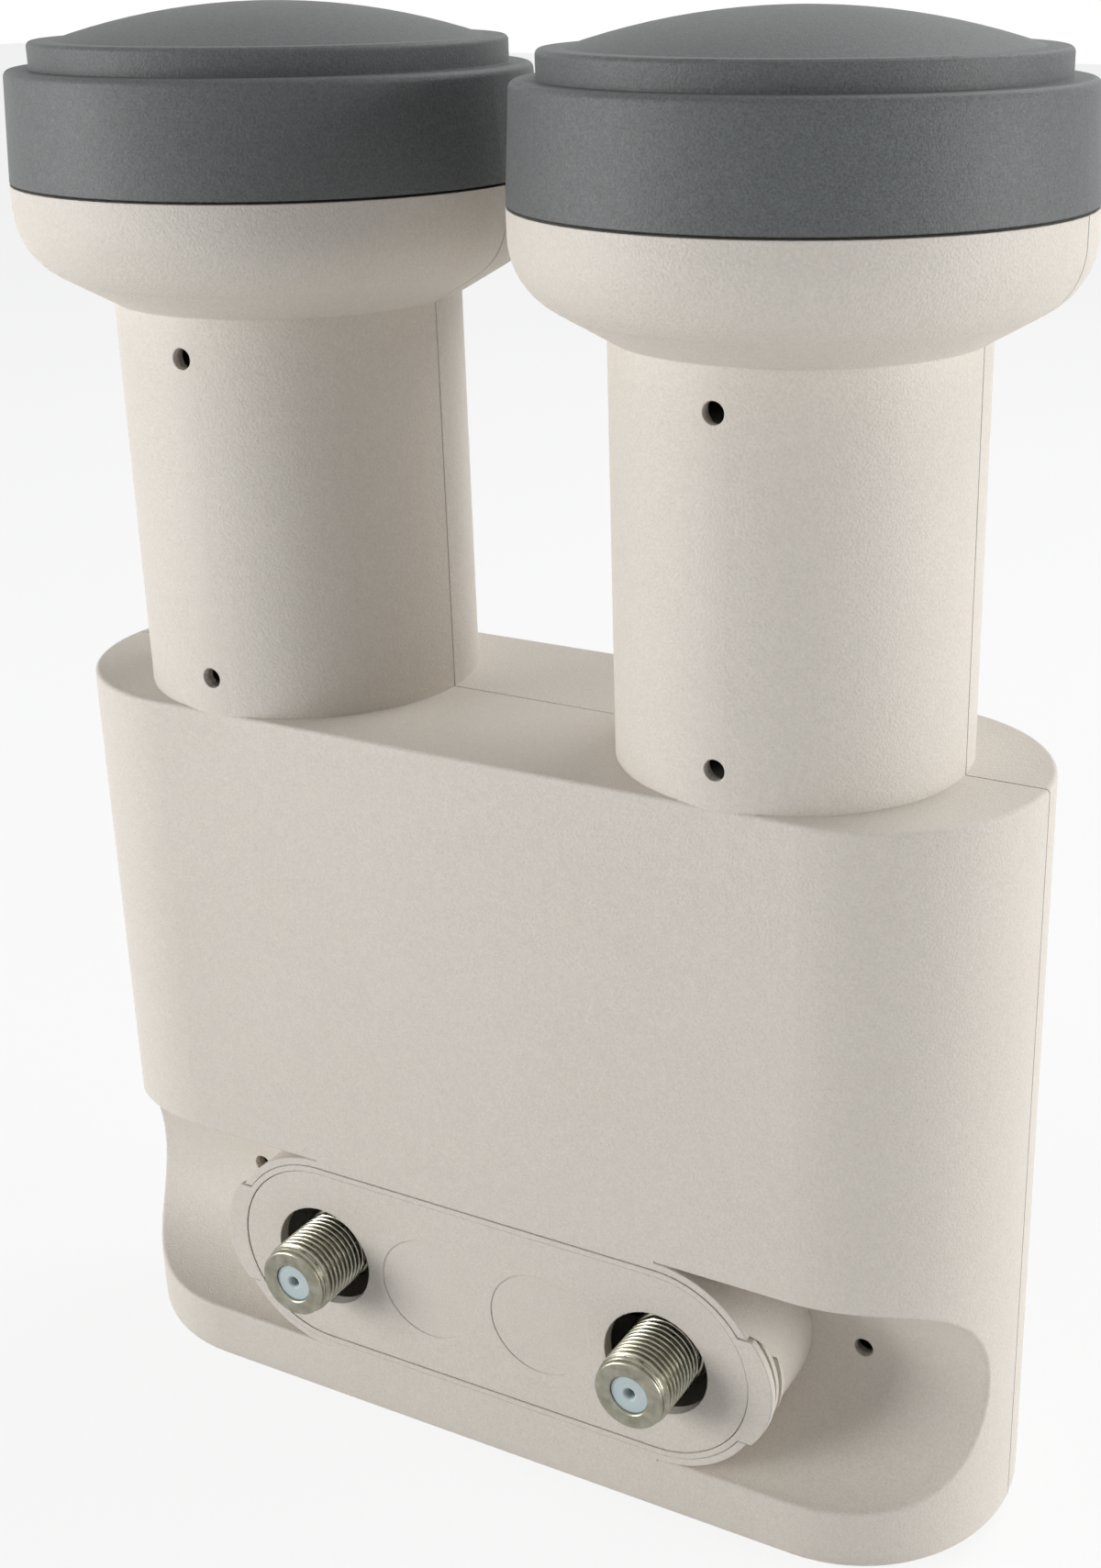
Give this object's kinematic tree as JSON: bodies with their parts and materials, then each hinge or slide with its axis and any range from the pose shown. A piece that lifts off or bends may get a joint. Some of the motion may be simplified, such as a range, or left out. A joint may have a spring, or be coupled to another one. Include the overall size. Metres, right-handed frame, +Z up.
{
  "type": "satellite lnb",
  "caption": "Satellite LNB with side-by-side feed necks under domed caps, threaded coaxial connectors in a recessed row and a sliding weather shield.",
  "frame": {"origin": "middle of the flat bottom, midway between the two neck axes", "axes": "+Z up along the necks, the connector side faces -Y, +X to the right seen from that side"},
  "size_m": [0.1253, 0.0598, 0.173],
  "materials": {
    "housing_plastic": "moulded, fine spark texture",
    "cap_plastic": "moulded, satin",
    "nickel_plate": "nickel plated",
    "connector_core": "moulded, waxy",
    "contact_metal": "plated, smooth",
    "die_casting": "as cast",
    "seal_rubber": "moulded",
    "board_laminate": "solder resist",
    "chip_package": "moulded",
    "crystal_can": "drawn",
    "capacitor_ceramic": "fired",
    "ferrite": "sintered",
    "screw_steel": "zinc plated"
  },
  "bodies": {
    "housing": {"front_cover": "housing_plastic", "rear_cover": "housing_plastic", "feed_cap_left": "cap_plastic", "feed_cap_right": "cap_plastic", "f_connector_left": "nickel_plate", "f_connector_right": "nickel_plate", "connector_insulator_left": "connector_core", "connector_insulator_right": "connector_core", "probe_bushes": "connector_core", "connector_contact_left": "contact_metal", "connector_contact_right": "contact_metal", "probe_pins_straight": "contact_metal", "probe_pins_bent": "contact_metal", "isolation_pins": "contact_metal", "chassis": "die_casting", "chassis_lid": "die_casting", "feed_horn_left": "die_casting", "feed_horn_right": "die_casting", "horn_seal_left": "seal_rubber", "horn_seal_right": "seal_rubber", "cap_seal_left": "seal_rubber", "cap_seal_right": "seal_rubber", "connector_seal_left": "seal_rubber", "connector_seal_right": "seal_rubber", "lid_gasket": "seal_rubber", "circuit_board": "board_laminate", "lna_transistors": "chip_package", "converter_chips": "chip_package", "voltage_regulator": "chip_package", "crystals": "crystal_can", "supply_capacitors": "capacitor_ceramic", "choke_coils": "ferrite", "lid_screws": "screw_steel", "chassis_screws": "screw_steel"},
    "shield": {"weather_shield": "housing_plastic"}
  },
  "joints": [
    {"name": "shield_slide", "type": "slide", "parent": "housing", "child": "shield", "axis": [0, -1, 0], "range_m": [0, 0.014]}
  ]
}
